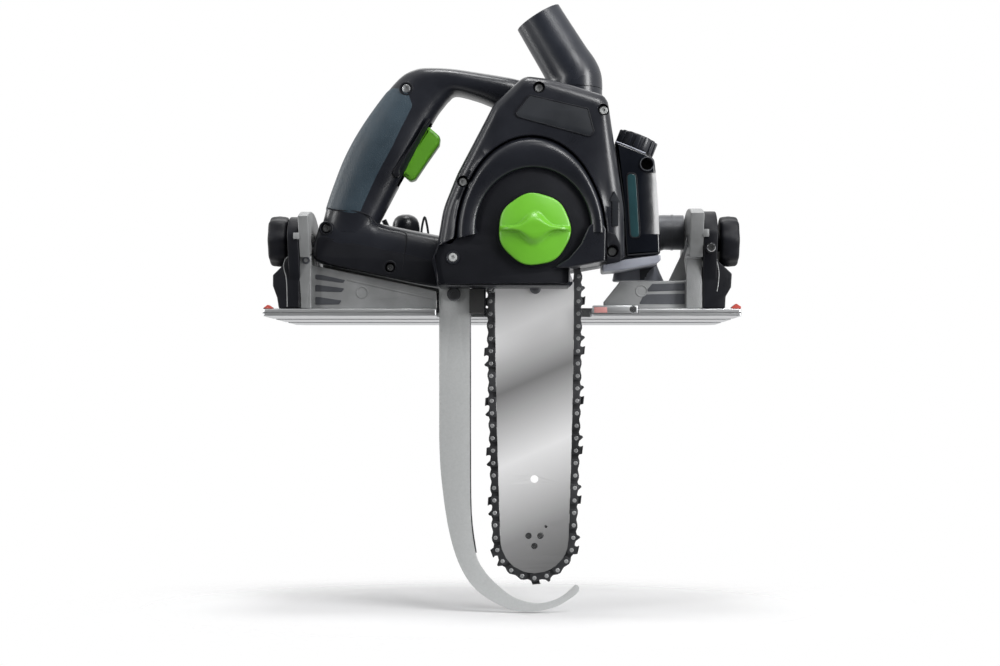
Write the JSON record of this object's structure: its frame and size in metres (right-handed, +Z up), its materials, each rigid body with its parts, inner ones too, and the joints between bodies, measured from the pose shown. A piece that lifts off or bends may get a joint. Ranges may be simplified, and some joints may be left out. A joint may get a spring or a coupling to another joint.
{
  "type": "carpentry chain saw",
  "caption": "Hand-held carpentry chain saw with a base plate, tilting head, guide bar, riving knife, rear handle, oil tank and swivelling dust port.",
  "frame": {"origin": "centre of the base plate's sole, on the face that slides on the work", "axes": "+X is the feed direction, +Y runs from the bar towards the motor, +Z is up from the sole"},
  "size_m": [0.362, 0.2263, 0.4701],
  "materials": {
    "black_plastic": "satin black",
    "gloss_black": "gloss black",
    "grip_grey": "fine grained slate blue",
    "green_plastic": "satin green",
    "grey_casting": "die cast, satin",
    "dark_casting": "satin dark grey paint",
    "plate_alloy": "extruded, satin",
    "bar_steel": "polished",
    "knife_steel": "satin",
    "chain_steel": "dark, oiled",
    "bright_steel": "bright",
    "copper": "copper bars",
    "carbon": "carbon, matt",
    "iron_stack": "lacquered iron",
    "circuit_green": "solder mask",
    "rubber": "matt",
    "clear_window": "clear, tinted"
  },
  "bodies": {
    "base": {"base_plate": "plate_alloy", "splinter_guard": "green_plastic", "rear_quadrant": "grey_casting", "front_quadrant": "grey_casting", "rear_bracket": "black_plastic", "front_bracket": "black_plastic", "rear_clamp_bolt": "bright_steel", "front_clamp_bolt": "bright_steel"},
    "head": {"rear_segment": "grey_casting", "front_segment": "grey_casting", "body_shell": "black_plastic", "gear_housing": "dark_casting", "motor_housing": "black_plastic", "motor_end_cap": "black_plastic", "output_bearing_near": "bright_steel", "output_bearing_far": "bright_steel", "motor_bearing_near": "bright_steel", "motor_bearing_far": "bright_steel", "motor_stator": "iron_stack", "rear_brush": "carbon", "front_brush": "carbon", "oil_pump": "bright_steel", "sprocket_cover": "black_plastic", "bar_stud": "bright_steel", "saw_chain": "chain_steel", "riving_knife": "knife_steel", "knife_bolt": "bright_steel", "handle_shell_near": "black_plastic", "handle_shell_far": "black_plastic", "grip_pad_near": "grip_grey", "grip_pad_far": "grip_grey", "switch_module": "black_plastic", "control_board": "circuit_green", "oil_tank": "gloss_black", "sight_window": "clear_window", "carrier_rail": "dark_casting", "mains_inlet": "black_plastic", "front_handle": "dark_casting", "chain_catcher": "rubber"},
    "rear_knob": {"rear_clamp_knob": "black_plastic"},
    "front_knob": {"front_clamp_knob": "black_plastic"},
    "cover_knob": {"cover_knob": "green_plastic"},
    "bar": {"bar_plate_near": "bar_steel", "bar_core": "bar_steel", "bar_plate_far": "bar_steel", "nose_bearing": "bright_steel"},
    "nose_star": {"nose_sprocket": "bright_steel"},
    "drive": {"output_shaft": "bright_steel", "output_gear": "bright_steel", "drive_sprocket": "bright_steel"},
    "rotor": {"armature": "iron_stack", "motor_pinion": "bright_steel", "commutator": "copper", "motor_fan": "black_plastic"},
    "trigger": {"trigger": "green_plastic"},
    "lock_button": {"lock_off_button": "green_plastic"},
    "oil_cap": {"oil_cap": "black_plastic", "cap_seal": "rubber"},
    "dust_port": {"dust_port": "dark_casting"}
  },
  "joints": [
    {"name": "bevel_tilt", "type": "hinge", "parent": "base", "child": "head", "pos_m": [0, -0.081, 0], "axis": [1, 0, 0], "range_deg": [-10, 60]},
    {"name": "rear_knob_turn", "type": "hinge", "parent": "base", "child": "rear_knob", "pos_m": [-0.17, -0.081, 0.0574], "axis": [1, 0, 0], "continuous": true},
    {"name": "front_knob_turn", "type": "hinge", "parent": "base", "child": "front_knob", "pos_m": [0.17, -0.081, 0.0574], "axis": [1, 0, 0], "continuous": true},
    {"name": "cover_knob_turn", "type": "hinge", "parent": "head", "child": "cover_knob", "pos_m": [0.0245, -0.12, 0.0635], "axis": [0, 1, 0], "continuous": true},
    {"name": "bar_tension", "type": "slide", "parent": "head", "child": "bar", "axis": [0, 0, 1], "range_m": [0, 0.005]},
    {"name": "nose_spin", "type": "hinge", "parent": "bar", "child": "nose_star", "pos_m": [0.0245, -0.081, -0.1696], "axis": [0, 1, 0], "continuous": true},
    {"name": "drive_spin", "type": "hinge", "parent": "head", "child": "drive", "pos_m": [0.0245, -0.081, 0.1105], "axis": [0, 1, 0], "continuous": true},
    {"name": "rotor_spin", "type": "hinge", "parent": "head", "child": "rotor", "pos_m": [0.02994, 0, 0.07968], "axis": [0, 1, 0], "continuous": true},
    {"name": "trigger_pull", "type": "hinge", "parent": "head", "child": "trigger", "pos_m": [-0.06252, -0.075, 0.1461], "axis": [0, 1, 0], "range_deg": [0, 8], "stiffness_Nm_per_rad": 0.5, "springref_deg": -5.73},
    {"name": "lock_button_push", "type": "slide", "parent": "head", "child": "lock_button", "axis": [0, -1, 0], "range_m": [0, 0.003], "stiffness_N_per_m": 300, "springref_m": -0.002},
    {"name": "oil_cap_turn", "type": "hinge", "parent": "head", "child": "oil_cap", "pos_m": [0.09973, -0.0845, 0.12609], "axis": [0.3697, 0, 0.9291], "continuous": true},
    {"name": "dust_port_swivel", "type": "hinge", "parent": "head", "child": "dust_port", "pos_m": [0.056, -0.0555, 0.1779], "axis": [0, 0, 1], "continuous": true}
  ],
  "couplings": [
    {"joint": "drive_spin", "follows": "rotor_spin", "ratio": -0.29032},
    {"joint": "nose_spin", "follows": "rotor_spin", "ratio": -0.20793}
  ]
}
